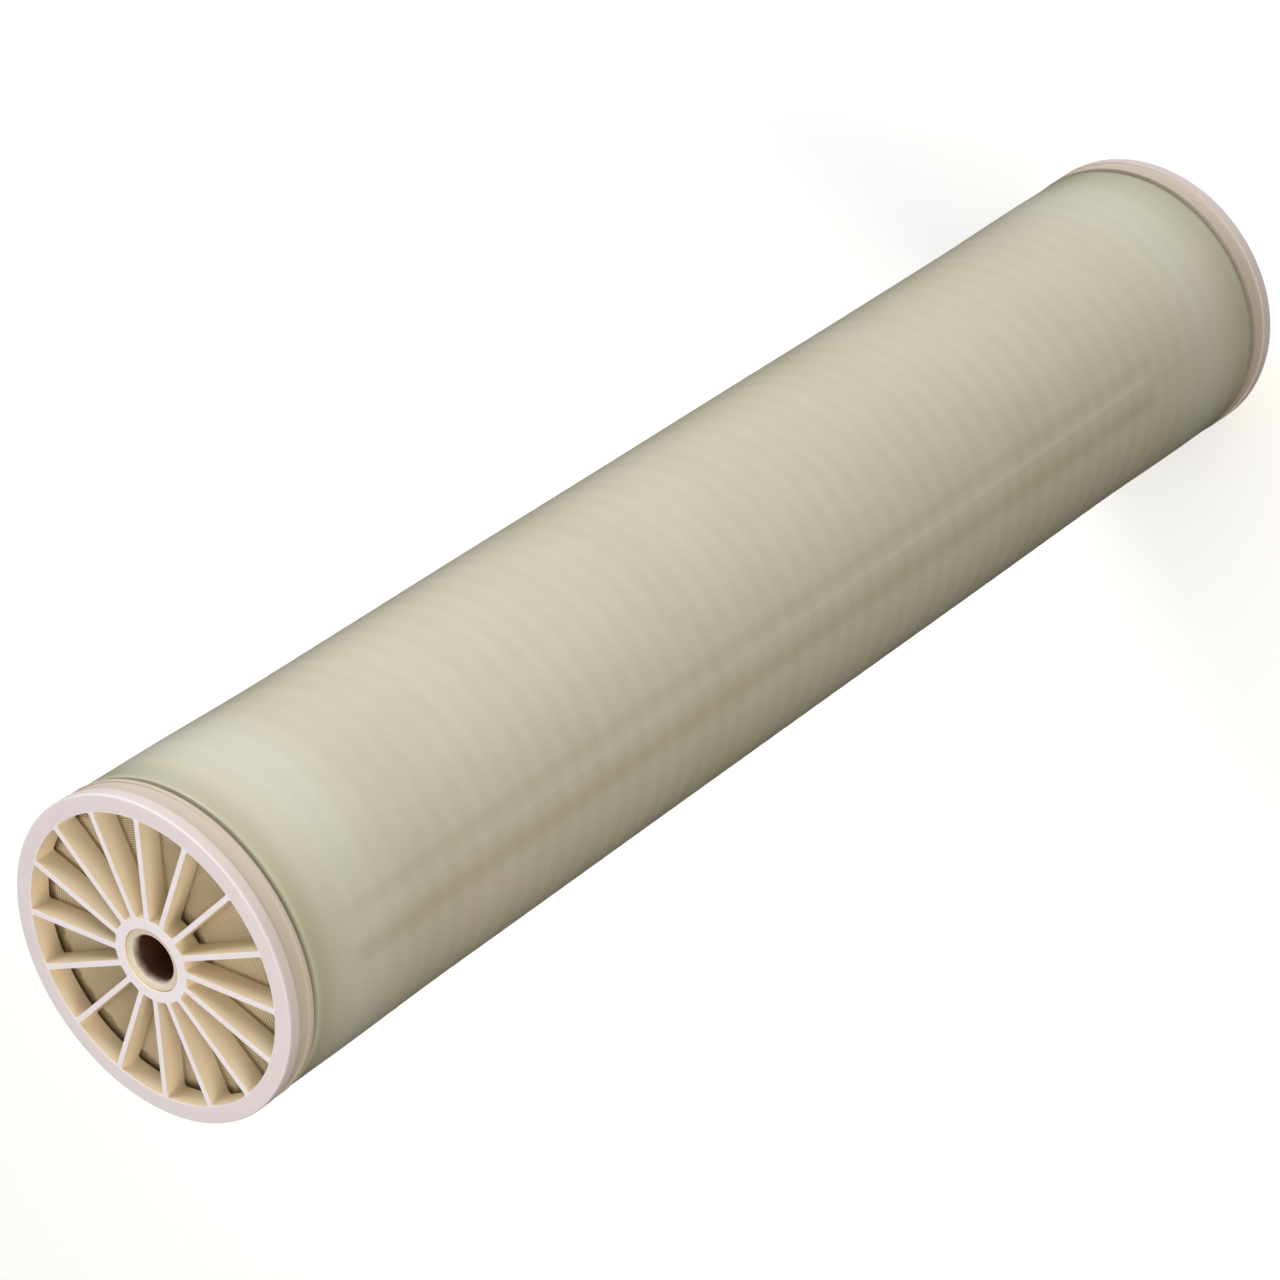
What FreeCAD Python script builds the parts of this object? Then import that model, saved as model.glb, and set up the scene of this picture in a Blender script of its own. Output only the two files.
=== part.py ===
"""Spiral-wound reverse osmosis membrane element, 8 inches across and 40 inches long.

The element stands on one end, with its permeate tube along +Z and its origin at the
centre of the lower face. Twenty glued membrane leaves and their feed spacers are wound
around the perforated tube, held by a film and two bands of tape, closed by a spoked cap
at each end, and wound over with glass fibre and resin. All sizes are in millimetres.
"""
import FreeCAD, Part
import math
import os

import Sketcher
from FreeCAD import Placement, Rotation, Vector

# name in the sheet, value, what it sets
SIZES = (
    ("element_length", "1016", "face to face, over both end caps"),
    ("element_radius", "100.5", "outside of the end cap rings"),
    ("ring_wall", "10.7", "end cap ring, outside to the rim of its windows"),
    ("ring_depth", "20", "length of the ring outside the shell"),
    ("ring_edge", "1.2", "bevel around the ring's outer edge"),
    ("flange_width", "8", "outer flange of the ring"),
    ("groove_width", "9.5", "seat of the brine seal, between flange and lip"),
    ("groove_depth", "1.3", "depth of the seal's seat"),
    ("lip_drop", "0.3", "how far the inner lip stays below the flange"),
    ("spoke_count", "16", "spokes of an end cap"),
    ("spoke_width", "3.3", "thickness of a spoke"),
    ("spoke_depth", "14.5", "depth of the spokes and hub from the face"),
    ("spoke_turn", "2.8", "degrees from +X to the first spoke"),
    ("window_round", "1.5", "corner radius of the windows between spokes"),
    ("window_edge", "0.4", "rounding of the windows' outer edge"),
    ("hub_wall", "6.3", "wall of the hub around the tube"),
    ("hub_edge", "0.6", "bevel in the mouth of the hub"),
    ("skirt_wall", "2", "skirt of the cap, under the shell"),
    ("skirt_reach", "22", "how far the skirt runs under the shell"),
    ("skirt_edge", "0.8", "lead-in inside the skirt's end"),
    ("shell_gap", "4", "open gap between ring and shell"),
    ("ring_proud", "0.9", "how far the ring stands over the shell"),
    ("shell_end_wall", "2.65", "shell over the skirts"),
    ("shell_flare", "1.2", "how much thicker the element is over the skirts"),
    ("shell_land", "34", "straight length at each end of the shell"),
    ("shell_taper", "110", "length over which the flare dies out"),
    ("shell_edge", "0.8", "bevel at the shell's ends"),
    ("tube_bore_radius", "14.3", "inside of the permeate tube"),
    ("tube_wall", "5.2", "wall of the permeate tube"),
    ("tube_setback", "1.5", "tube's end below the face of the cap"),
    ("tube_edge", "1.5", "lead-in bevel inside the tube's ends"),
    ("tube_outer_edge", "0.5", "bevel outside the tube's ends"),
    ("hole_radius", "1.75", "permeate holes through the tube's wall"),
    ("hole_margin", "56", "first permeate hole from the end of the tube"),
    ("hole_steps", "26", "places along the tube that have holes"),
    ("hole_rows", "4", "rows of permeate holes around the tube"),
    ("core_wrap", "0.4", "first layer of permeate cloth on the tube"),
    ("scroll_setback", "3", "end of the winding behind the spokes"),
    ("leaf_count", "20", "membrane leaves, each with one feed spacer"),
    ("leaf_thickness", "0.58", "two membrane sheets glued around permeate cloth"),
    ("spacer_thickness", "0.79", "feed spacer net"),
    ("leaf_clearance", "0.025", "between a leaf and the net beside it"),
    ("film", "0.35", "wrapping film around the winding"),
    ("film_overlap", "26", "degrees that the film laps over itself"),
    ("film_turn", "16", "degrees from +X to the film's free edge"),
    ("tape", "0.3", "tape around the film beside each skirt"),
    ("tape_width", "50", "width of the tape"),
    ("tape_offset", "3", "between skirt and tape"),
    ("seat_clearance", "0.15", "radial clearance between layers that seat"),
)

# Distances from the axis, worked out inwards from the ring and outwards from the bore.
RING_INNER = "(Sizes.element_radius - Sizes.ring_wall)"
GROOVE = "(Sizes.element_radius - Sizes.groove_depth)"
LIP = "(Sizes.element_radius - Sizes.lip_drop)"
SHELL_END = "(Sizes.element_radius - Sizes.ring_proud)"
SHELL_MIDDLE = f"({SHELL_END} - Sizes.shell_flare)"
SHELL_SEAT = f"({SHELL_END} - Sizes.shell_end_wall)"
SKIRT_OUTER = f"({SHELL_SEAT} - Sizes.seat_clearance)"
SKIRT_INNER = f"({SKIRT_OUTER} - Sizes.skirt_wall)"
FILM_LAP = f"({SKIRT_INNER} - Sizes.seat_clearance)"
FILM_OUTER = f"({FILM_LAP} - Sizes.film)"
FILM_INNER = f"({FILM_OUTER} - Sizes.film)"
SCROLL_OUTER = f"({FILM_INNER} - Sizes.seat_clearance)"
TAPE_INNER = f"({FILM_LAP} + Sizes.seat_clearance)"
TAPE_OUTER = f"({TAPE_INNER} + Sizes.tape)"
SHELL_INNER = f"({TAPE_OUTER} + Sizes.seat_clearance)"
TUBE_OUTER = "(Sizes.tube_bore_radius + Sizes.tube_wall)"
HUB_INNER = f"({TUBE_OUTER} + Sizes.seat_clearance)"
HUB_OUTER = f"({HUB_INNER} + Sizes.hub_wall)"
CORE_INNER = f"({TUBE_OUTER} + Sizes.seat_clearance)"
CORE_OUTER = f"({CORE_INNER} + Sizes.core_wrap)"
SCROLL_INNER = f"({CORE_OUTER} + Sizes.seat_clearance)"

# Distances along the axis, from the nearer end of the element.
LIP_START = "(Sizes.flange_width + Sizes.groove_width)"
SHELL_START = "(Sizes.ring_depth + Sizes.shell_gap)"
SKIRT_STOP = f"({SHELL_START} + Sizes.skirt_reach)"
TAPE_START = f"({SKIRT_STOP} + Sizes.tape_offset)"
SCROLL_START = "(Sizes.spoke_depth + Sizes.scroll_setback)"
SCROLL_LENGTH = f"(Sizes.element_length - 2 * {SCROLL_START})"
SHELL_STOP = f"(Sizes.element_length - {SHELL_START})"

# One leaf with its net and both clearances.
PACKET = "(Sizes.leaf_thickness + Sizes.spacer_thickness + 2 * Sizes.leaf_clearance)"

UP = Vector(0, 0, 1)
TOP_TO_BOTTOM = Rotation(Vector(1, 0, 0), 180)

doc = FreeCAD.newDocument("membrane_element")
sheet = doc.addObject("Spreadsheet::Sheet", "Sizes")


def fill_sheet():
    """Write every driving size to the sheet, with its alias and a note."""
    for row, (alias, value, note) in enumerate(SIZES, start=1):
        sheet.set(f"A{row}", alias)
        sheet.set(f"B{row}", value)
        sheet.set(f"C{row}", note)
        sheet.setAlias(f"B{row}", alias)
    doc.recompute()


def number(expression):
    """The value of an expression on the sheet's sizes."""
    return float(sheet.evalExpression(expression))


def new_body(name):
    """An empty body whose label names the piece."""
    body = doc.addObject("PartDesign::Body", name)
    body.Label = name
    return body


def new_sketch(body, name, role):
    """A sketch on one of the body's own origin planes."""
    plane = next(part for part in body.Origin.OriginFeatures if part.Role == role)
    sketch = body.newObject("Sketcher::SketchObject", name)
    sketch.AttachmentSupport = [(plane, "")]
    sketch.MapMode = "FlatFace"
    return sketch


def bind(sketch, kind, place, expression):
    """Add a dimension to a sketch and tie it to an expression."""
    index = sketch.addConstraint(Sketcher.Constraint(kind, *place, number(expression)))
    sketch.setExpression(f"Constraints[{index}]", expression)


def draw_outline(sketch, corners):
    """A closed outline of straight lines through corners given as expressions."""
    points = [Vector(number(across), number(along), 0) for across, along in corners]
    for start, stop in zip(points, points[1:] + points[:1]):
        sketch.addGeometry(Part.LineSegment(start, stop), False)
    for line, (across, along) in enumerate(corners):
        before = (line - 1) % len(corners)
        sketch.addConstraint(Sketcher.Constraint("Coincident", before, 2, line, 1))
        bind(sketch, "DistanceX", (-1, 1, line, 1), across)
        bind(sketch, "DistanceY", (-1, 1, line, 1), along)


def draw_circle(sketch, radius):
    """A circle around the sketch's origin."""
    circle = Part.Circle(Vector(0, 0, 0), UP, number(radius))
    index = sketch.addGeometry(circle, False)
    sketch.addConstraint(Sketcher.Constraint("Coincident", index, 3, -1, 1))
    bind(sketch, "Radius", (index,), radius)


def draw_sector(sketch, inner, outer, inner_height, outer_height):
    """An area between two arcs, mirrored about the sketch's X axis.

    The heights are those of its corners on the inner and the outer arc.
    """
    reach = []
    for radius, height in ((inner, inner_height), (outer, outer_height)):
        half = math.asin(number(height) / number(radius))
        circle = Part.Circle(Vector(0, 0, 0), UP, number(radius))
        reach.append(sketch.addGeometry(Part.ArcOfCircle(circle, -half, half), False))
        sketch.addConstraint(Sketcher.Constraint("Coincident", reach[-1], 3, -1, 1))
        bind(sketch, "Radius", (reach[-1],), radius)
        bind(sketch, "DistanceY", (-1, 1, reach[-1], 2), height)
        bind(sketch, "DistanceY", (reach[-1], 1, -1, 1), height)
    inner_arc, outer_arc = reach
    for end in (1, 2):
        start = sketch.getPoint(inner_arc, end)
        stop = sketch.getPoint(outer_arc, end)
        side = sketch.addGeometry(Part.LineSegment(start, stop), False)
        sketch.addConstraint(Sketcher.Constraint("Coincident", side, 1, inner_arc, end))
        sketch.addConstraint(Sketcher.Constraint("Coincident", side, 2, outer_arc, end))


def revolve(body, name, corners):
    """A solid of revolution around Z from corners given as (radius, height)."""
    sketch = new_sketch(body, f"{name}_profile", "XZ_Plane")
    draw_outline(sketch, corners)
    solid = body.newObject("PartDesign::Revolution", name)
    solid.Profile = sketch
    solid.ReferenceAxis = (sketch, ["V_Axis"])
    solid.Angle = 360
    doc.recompute()
    return solid


def pad(body, name, sketch, length):
    """Raise a sketch on the XY plane to a length."""
    solid = body.newObject("PartDesign::Pad", name)
    solid.Profile = sketch
    solid.setExpression("Length", length)
    doc.recompute()
    return solid


def round_edges(body, name, base, radius, wanted):
    """Round the edges of a feature that a test picks out."""
    edges = base.Shape.Edges
    chosen = [f"Edge{index}" for index, edge in enumerate(edges, start=1) if wanted(edge)]
    fillet = body.newObject("PartDesign::Fillet", name)
    fillet.Base = (base, chosen)
    fillet.setExpression("Radius", radius)
    doc.recompute()
    return fillet


def require_cut(before, after):
    """Stop if a pocket took nothing from the solid."""
    if after.Shape.Volume > before.Shape.Volume - 1:
        raise RuntimeError(f"{after.Name} cut nothing from {before.Name}")


def axis_distance(vertex):
    """How far a vertex lies from the Z axis."""
    return math.hypot(vertex.X, vertex.Y)


def sleeve(name, inner, outer, start, length):
    """A plain layer wound around the axis."""
    body = new_body(name)
    sketch = new_sketch(body, f"{name}_section", "XY_Plane")
    draw_circle(sketch, outer)
    draw_circle(sketch, inner)
    pad(body, f"{name}_layer", sketch, length)
    body.setExpression("Placement.Base.z", start)
    return body


def permeate_tube():
    """The core tube, with lead-in bevels at its ends and rows of holes in its wall."""
    body = new_body("permeate_tube")
    bore = "Sizes.tube_bore_radius"
    low = "Sizes.tube_setback"
    high = "(Sizes.element_length - Sizes.tube_setback)"
    wall = revolve(body, "tube_wall", (
        (f"{bore} + Sizes.tube_edge", low),
        (f"{TUBE_OUTER} - Sizes.tube_outer_edge", low),
        (TUBE_OUTER, f"{low} + Sizes.tube_outer_edge"),
        (TUBE_OUTER, f"{high} - Sizes.tube_outer_edge"),
        (f"{TUBE_OUTER} - Sizes.tube_outer_edge", high),
        (f"{bore} + Sizes.tube_edge", high),
        (bore, f"{high} - Sizes.tube_edge"),
        (bore, f"{low} + Sizes.tube_edge"),
    ))
    drill_permeate_holes(body, wall)
    return body


def drill_permeate_holes(body, wall):
    """One hole right through both walls, repeated along the tube and around it."""
    sketch = new_sketch(body, "hole_section", "XZ_Plane")
    first = "(Sizes.tube_setback + Sizes.hole_margin)"
    radius = number("Sizes.hole_radius")
    sketch.addGeometry(Part.Circle(Vector(0, number(first), 0), UP, radius), False)
    sketch.addConstraint(Sketcher.Constraint("PointOnObject", 0, 3, -2))
    bind(sketch, "DistanceY", (-1, 1, 0, 3), first)
    bind(sketch, "Radius", (0,), "Sizes.hole_radius")

    hole = body.newObject("PartDesign::Pocket", "first_hole")
    hole.Profile = sketch
    hole.Type = "ThroughAll"
    hole.Midplane = True
    doc.recompute()
    require_cut(wall, hole)

    repeat = body.newObject("PartDesign::MultiTransform", "hole_rows")
    repeat.Originals = [hole]
    along = body.newObject("PartDesign::LinearPattern", "holes_along")
    along.Direction = (sketch, ["V_Axis"])
    along.setExpression("Length", f"Sizes.element_length - 2 * {first}")
    along.setExpression("Occurrences", "Sizes.hole_steps")
    around = body.newObject("PartDesign::PolarPattern", "holes_around")
    around.Axis = (sketch, ["V_Axis"])
    around.setExpression("Angle", "180 - 360 / Sizes.hole_rows")
    around.setExpression("Occurrences", "Sizes.hole_rows / 2")
    repeat.Transformations = [along, around]
    body.Tip = repeat
    doc.recompute()


def end_cap(name):
    """One moulded cap, face down: ring, spokes, hub and the skirt under the shell."""
    body = new_body(name)
    disc = revolve(body, f"{name}_disc", (
        (f"{HUB_INNER} + Sizes.hub_edge", "0"),
        ("Sizes.element_radius - Sizes.ring_edge", "0"),
        ("Sizes.element_radius", "Sizes.ring_edge"),
        ("Sizes.element_radius", "Sizes.flange_width"),
        (GROOVE, "Sizes.flange_width"),
        (GROOVE, LIP_START),
        (LIP, LIP_START),
        (LIP, "Sizes.ring_depth"),
        (SKIRT_OUTER, "Sizes.ring_depth"),
        (SKIRT_OUTER, SKIRT_STOP),
        (f"{SKIRT_INNER} + Sizes.skirt_edge", SKIRT_STOP),
        (SKIRT_INNER, f"{SKIRT_STOP} - Sizes.skirt_edge"),
        (SKIRT_INNER, "Sizes.spoke_depth"),
        (HUB_INNER, "Sizes.spoke_depth"),
        (HUB_INNER, "Sizes.hub_edge"),
    ))
    windows = cut_windows(body, name, disc)
    round_windows(body, name, windows)
    return body


def cut_windows(body, name, disc):
    """Cut the windows that leave the spokes standing between hub and ring."""
    half_turn = "(180 / Sizes.spoke_count)"
    half_width = "(Sizes.spoke_width / 2)"
    heights = []
    for radius in (HUB_OUTER, RING_INNER):
        reach = f"sqrt({radius} * {radius} - {half_width} * {half_width})"
        heights.append(f"{reach} * sin({half_turn}) - {half_width} * cos({half_turn})")
    sketch = new_sketch(body, f"{name}_window", "XY_Plane")
    draw_sector(sketch, HUB_OUTER, RING_INNER, *heights)

    window = body.newObject("PartDesign::Pocket", f"{name}_first_window")
    window.Profile = sketch
    window.Reversed = True
    window.setExpression("Length", "Sizes.spoke_depth")
    doc.recompute()
    require_cut(disc, window)

    windows = body.newObject("PartDesign::PolarPattern", f"{name}_windows")
    windows.Originals = [window]
    windows.Axis = (sketch, ["N_Axis"])
    windows.Angle = 360
    windows.setExpression("Occurrences", "Sizes.spoke_count")
    body.Tip = windows
    doc.recompute()
    return windows


def round_windows(body, name, windows):
    """Round the windows' corners, and then their edges in the outer face."""
    rims = (number(HUB_OUTER), number(RING_INNER))
    depth = number("Sizes.spoke_depth")

    def is_corner(edge):
        start, stop = edge.Vertexes[0], edge.Vertexes[-1]
        upright = abs(abs(start.Z - stop.Z) - depth) < 1e-4
        return upright and any(abs(axis_distance(start) - rim) < 1e-3 for rim in rims)

    corners = round_edges(body, f"{name}_corners", windows, "Sizes.window_round", is_corner)

    def is_outer_edge(edge):
        middle = edge.valueAt((edge.FirstParameter + edge.LastParameter) / 2)
        level = all(abs(point.z) < 1e-4 for point in [v.Point for v in edge.Vertexes] + [middle])
        across = math.hypot(middle.x, middle.y)
        return level and rims[0] - 1e-3 < across < rims[1] + 1e-3

    body.Tip = round_edges(body, f"{name}_edges", corners, "Sizes.window_edge", is_outer_edge)


def place_caps(bottom, top):
    """Stand the lower cap on the floor and turn the upper one over, spokes in step."""
    between = 180 / number("Sizes.spoke_count")
    turn = number("Sizes.spoke_turn")
    bottom.Placement = Placement(Vector(0, 0, 0), Rotation(UP, turn + between))
    top.Placement = Placement(Vector(0, 0, 0), Rotation(UP, turn + between) * TOP_TO_BOTTOM)
    top.setExpression("Placement.Base.z", "Sizes.element_length")


def winding():
    """The last arc's outer radius, the radius its centres lie on, and the number of arcs.

    A sheet is wound in arcs that each turn by one leaf's share of the circle. Their
    centres are the corners of a small polygon with one side for each leaf, as long as a
    packet is thick, so each arc runs on smoothly into one that is a packet larger. The
    last arc of a net ends at the film, and whole arcs reach inwards as far as the core.
    """
    packet = number(PACKET)
    centres = packet / (2 * math.sin(math.pi / number("Sizes.leaf_count")))
    film = number(SCROLL_OUTER)
    last = math.sqrt(film ** 2 + packet ** 2 / 4 - centres ** 2) - packet / 2

    def core_distance(arcs):
        radius = last - arcs * packet + number("Sizes.leaf_clearance")
        return math.sqrt(centres ** 2 + radius ** 2 - radius * packet)

    arcs = 1
    while core_distance(arcs + 1) > number(SCROLL_INNER):
        arcs += 1
    return last, centres, arcs


def wound_edge(last, centres, arcs, share, packet):
    """The arcs of one edge of a sheet, from the core outwards to its last radius."""
    edge = []
    for index in reversed(range(arcs)):
        angle = math.pi / 2 - share * (index + 0.5)
        centre = Vector(centres * math.cos(angle), centres * math.sin(angle), 0)
        circle = Part.Circle(centre, UP, last - index * packet)
        edge.append(Part.ArcOfCircle(circle, -share * (index + 1), -share * index))
    return edge


def ribbon(inner_edge, outer_edge, height):
    """One wound sheet between two edges."""
    start = Part.LineSegment(outer_edge[0].StartPoint, inner_edge[0].StartPoint)
    stop = Part.LineSegment(inner_edge[-1].EndPoint, outer_edge[-1].EndPoint)
    outline = [*inner_edge, stop, *reversed(outer_edge), start]
    wire = Part.Wire([curve.toShape() for curve in outline])
    return Part.Face(wire).extrude(Vector(0, 0, height))


def wound_sheets(name, depth, thickness):
    """The leaves or the nets: one ribbon each, turned in equal steps around the tube."""
    count = round(number("Sizes.leaf_count"))
    share = 2 * math.pi / count
    packet = number(PACKET)
    last, centres, arcs = winding()
    far = last - number(depth)
    near = far - number(thickness)
    inner_edge = wound_edge(near, centres, arcs, share, packet)
    outer_edge = wound_edge(far, centres, arcs, share, packet)
    shape = ribbon(inner_edge, outer_edge, number(SCROLL_LENGTH))
    sheets = []
    for index in range(count):
        piece = doc.addObject("Part::Feature", f"{name}_{index + 1:02d}")
        piece.Label = f"{name}_{index + 1:02d}"
        piece.Shape = shape.copy()
        turn = Rotation(UP, index * 360 / count)
        piece.Placement = Placement(Vector(0, 0, number(SCROLL_START)), turn)
        sheets.append(piece)
    return sheets


def wrap_film():
    """The film around the winding, whose free edge laps over its first layer."""
    body = new_body("wrap_film")
    layer = new_sketch(body, "film_section", "XY_Plane")
    draw_circle(layer, FILM_OUTER)
    draw_circle(layer, FILM_INNER)
    pad(body, "film_layer", layer, SCROLL_LENGTH)

    lap = new_sketch(body, "lap_section", "XY_Plane")
    root = f"({FILM_OUTER} - Sizes.film / 2)"
    half = "(Sizes.film_overlap / 2)"
    draw_sector(lap, root, FILM_LAP, f"{root} * sin({half})", f"{FILM_LAP} * sin({half})")
    pad(body, "film_lap", lap, SCROLL_LENGTH)
    turn = number("Sizes.film_turn") + number("Sizes.film_overlap") / 2
    body.Placement = Placement(Vector(0, 0, 0), Rotation(UP, turn))
    body.setExpression("Placement.Base.z", SCROLL_START)
    return body


def end_tapes():
    """A band of tape around the film beside each skirt."""
    upper = f"(Sizes.element_length - {TAPE_START} - Sizes.tape_width)"
    return [
        sleeve("bottom_end_tape", TAPE_INNER, TAPE_OUTER, TAPE_START, "Sizes.tape_width"),
        sleeve("top_end_tape", TAPE_INNER, TAPE_OUTER, upper, "Sizes.tape_width"),
    ]


def glass_shell():
    """The wound glass fibre shell, a little thicker where it runs over the skirts."""
    body = new_body("glass_shell")
    land = f"({SHELL_START} + Sizes.shell_land)"
    level = f"({land} + Sizes.shell_taper)"
    skirt = f"({SKIRT_STOP} + Sizes.seat_clearance)"
    slope = f"({skirt} + {SHELL_SEAT} - {SHELL_INNER})"
    lower = (
        (SHELL_INNER, slope),
        (SHELL_SEAT, skirt),
        (SHELL_SEAT, SHELL_START),
        (f"{SHELL_END} - Sizes.shell_edge", SHELL_START),
        (SHELL_END, f"{SHELL_START} + Sizes.shell_edge"),
        (SHELL_END, land),
        (SHELL_MIDDLE, level),
    )
    upper = [(radius, f"Sizes.element_length - ({height})") for radius, height in reversed(lower)]
    revolve(body, "shell_wall", list(lower) + upper)
    return body


def write_parts(pieces):
    """Check every object and every piece, and write one STEP file for each piece."""
    doc.recompute()
    for thing in doc.Objects:
        if {"Invalid", "Error"} & set(thing.State):
            raise RuntimeError(f"{thing.Name} did not recompute: {thing.State}")
    for piece in pieces:
        if piece.Shape.isNull() or not piece.Shape.isValid():
            raise RuntimeError(f"{piece.Label} has no valid shape")
    os.makedirs("parts", exist_ok=True)
    for piece in pieces:
        piece.Shape.exportStep(os.path.join("parts", f"{piece.Label}.step"))


fill_sheet()
bottom_cap = end_cap("bottom_end_cap")
top_cap = end_cap("top_end_cap")
place_caps(bottom_cap, top_cap)
leaf_depth = "Sizes.spacer_thickness + Sizes.leaf_clearance"
write_parts([
    permeate_tube(),
    sleeve("core_wrap", CORE_INNER, CORE_OUTER, SCROLL_START, SCROLL_LENGTH),
    *wound_sheets("membrane_leaf", leaf_depth, "Sizes.leaf_thickness"),
    *wound_sheets("feed_spacer", "0", "Sizes.spacer_thickness"),
    wrap_film(),
    *end_tapes(),
    glass_shell(),
    bottom_cap,
    top_cap,
])
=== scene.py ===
"""Looks of a spiral-wound membrane element that stands on one end, with +Z along its tube."""
import math

import bmesh
import bpy
import numpy as np
from bpy.props import FloatProperty, FloatVectorProperty, IntProperty, PointerProperty
from mathutils import Matrix, Vector


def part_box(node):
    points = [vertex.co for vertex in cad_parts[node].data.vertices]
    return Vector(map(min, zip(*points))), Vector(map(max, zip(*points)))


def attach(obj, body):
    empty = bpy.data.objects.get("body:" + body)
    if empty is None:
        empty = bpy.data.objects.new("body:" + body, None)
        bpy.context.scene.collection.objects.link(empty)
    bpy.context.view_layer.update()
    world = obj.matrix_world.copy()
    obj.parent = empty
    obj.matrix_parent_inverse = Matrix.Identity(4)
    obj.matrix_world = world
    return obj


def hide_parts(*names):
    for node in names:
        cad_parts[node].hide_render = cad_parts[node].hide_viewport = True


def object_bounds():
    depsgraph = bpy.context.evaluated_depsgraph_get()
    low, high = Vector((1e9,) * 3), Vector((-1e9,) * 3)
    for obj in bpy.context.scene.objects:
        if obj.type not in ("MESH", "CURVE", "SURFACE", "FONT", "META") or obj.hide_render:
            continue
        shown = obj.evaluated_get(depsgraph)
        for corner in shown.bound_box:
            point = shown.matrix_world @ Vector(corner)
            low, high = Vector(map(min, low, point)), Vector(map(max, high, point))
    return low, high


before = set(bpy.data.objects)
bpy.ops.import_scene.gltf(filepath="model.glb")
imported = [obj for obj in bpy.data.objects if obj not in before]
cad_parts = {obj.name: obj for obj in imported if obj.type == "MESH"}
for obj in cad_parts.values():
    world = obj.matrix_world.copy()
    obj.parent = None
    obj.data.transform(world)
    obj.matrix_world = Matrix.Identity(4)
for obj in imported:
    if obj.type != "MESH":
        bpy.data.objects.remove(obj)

bl_info = {
    "name": "Membrane element",
    "version": (1, 0, 0),
    "blender": (4, 5, 0),
    "location": "3D View > Sidebar > Element",
    "description": "Dresses the packed membrane element: caps, shell, tube, winding and stage",
    "category": "Object",
}

MM = 0.001
CAD_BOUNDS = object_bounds()
LOW, HIGH = (Vector(corner) for corner in CAD_BOUNDS)
LENGTH = HIGH.z - LOW.z
ELEMENT_RADIUS = (HIGH.x - LOW.x) / 2
SKIRT_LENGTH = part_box("bottom_end_cap")[1].z
SHELL_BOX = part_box("glass_shell")
TUBE_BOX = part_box("permeate_tube")
LEAVES = sorted(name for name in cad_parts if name.startswith("membrane_leaf"))
NETS = sorted(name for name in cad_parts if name.startswith("feed_spacer"))
TURN = 2 * math.pi


def paint(red, green, blue):
    """A linear colour from the eight-bit values of a paint chart."""

    def linear(value):
        share = value / 255
        return share / 12.92 if share <= 0.04045 else ((share + 0.055) / 1.055) ** 2.4

    return linear(red), linear(green), linear(blue)


def length(name, description, millimetres):
    """A length that the user can change, with its default given in millimetres."""
    return FloatProperty(name=name, description=description, default=millimetres * MM,
                         precision=5, unit="LENGTH", subtype="DISTANCE")


def colour(name, description, default):
    """A colour that the user can change."""
    return FloatVectorProperty(name=name, description=description, default=default,
                               size=3, min=0, max=1, subtype="COLOR")


def share(name, description, default):
    """A share from none to all that the user can change."""
    return FloatProperty(name=name, description=description, default=default,
                         min=0, max=1, subtype="FACTOR")


class CapSettings(bpy.types.PropertyGroup):
    """Sizes and colours of the moulded end caps."""

    spokes: IntProperty(name="Spokes", description="Spokes of a cap", default=16, min=3)
    spoke_turn: FloatProperty(name="First spoke", description="Angle from +X to a spoke",
                              default=math.radians(2.8), subtype="ANGLE")
    spoke_width: length("Spoke width", "Thickness of a spoke at its outer edge", 3.2)
    spoke_draft: length("Spoke draft", "How much thicker a spoke is at its root", 0.4)
    spoke_depth: length("Spoke depth", "Depth of spokes and hub from the face", 14.5)
    rim_radius: length("Rim radius", "Outer end of the windows", 89.8)
    hub_radius: length("Hub radius", "Outside of the hub", 25.95)
    hub_bore: length("Hub bore", "Hole of the hub", 19.65)
    flange: length("Flange", "Width of the outer flange", 8)
    groove: length("Seal groove", "Width of the seal groove", 9.5)
    groove_depth: length("Groove depth", "Depth of the seal groove", 1.3)
    ring: length("Ring", "Length of the ring outside the shell", 20)
    skirt_outer: length("Skirt outside", "Outer radius of the skirt", 96.8)
    skirt_inner: length("Skirt inside", "Inner radius of the skirt", 94.8)
    edge: length("Edge", "Rounding of the moulded edges", 0.55)
    corner: length("Corner", "Corner radius of the windows", 1.5)
    # Face, front, side and wall are lit and shaded copies of one ivory plastic: face and front carry a
    # painted highlight, side and wall carry painted shade. The gap colour is a painted shadow on the
    # skirt between ring and shell.
    face: colour("Face", "Colour of the lit outer faces", paint(233, 222, 224))
    front: colour("Front", "Colour of the fronts of spokes and hub", paint(244, 236, 240))
    side: colour("Side", "Colour of the ring's side", paint(206, 192, 176))
    wall: colour("Wall", "Colour of the walls inside the windows", paint(233, 215, 183))
    gap: colour("Gap", "Colour of the skirt between ring and shell", paint(138, 132, 112))


class ShellSettings(bpy.types.PropertyGroup):
    """Sizes and colours of the wound glass fibre shell."""

    end_radius: length("End radius", "Outer radius over the skirts", 99.6)
    flare: length("Flare", "How much slimmer the middle is", 1.2)
    land: length("Land", "Straight length at each end", 34)
    taper: length("Taper", "Length over which the flare dies out", 110)
    seat: length("Seat", "Inner radius over the skirts", 96.95)
    bore: length("Bore", "Inner radius of the middle", 95.25)
    band: length("Band", "Spacing of the winding bands", 19)
    band_height: length("Band height", "Height of the winding bands", 0.07)
    resin: colour("Resin", "Colour of the resin in the middle", paint(210, 203, 180))
    green: colour("Green resin", "Greener tone where the resin lies thick", paint(198, 195, 162))
    pale: colour("Pale resin", "Milky tone over the tapes", paint(214, 214, 194))
    rim: colour("Rim resin", "Tone beside the rings", paint(184, 182, 152))
    olive: colour("Olive", "Tone beside the film's edge", paint(170, 164, 124))


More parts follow.
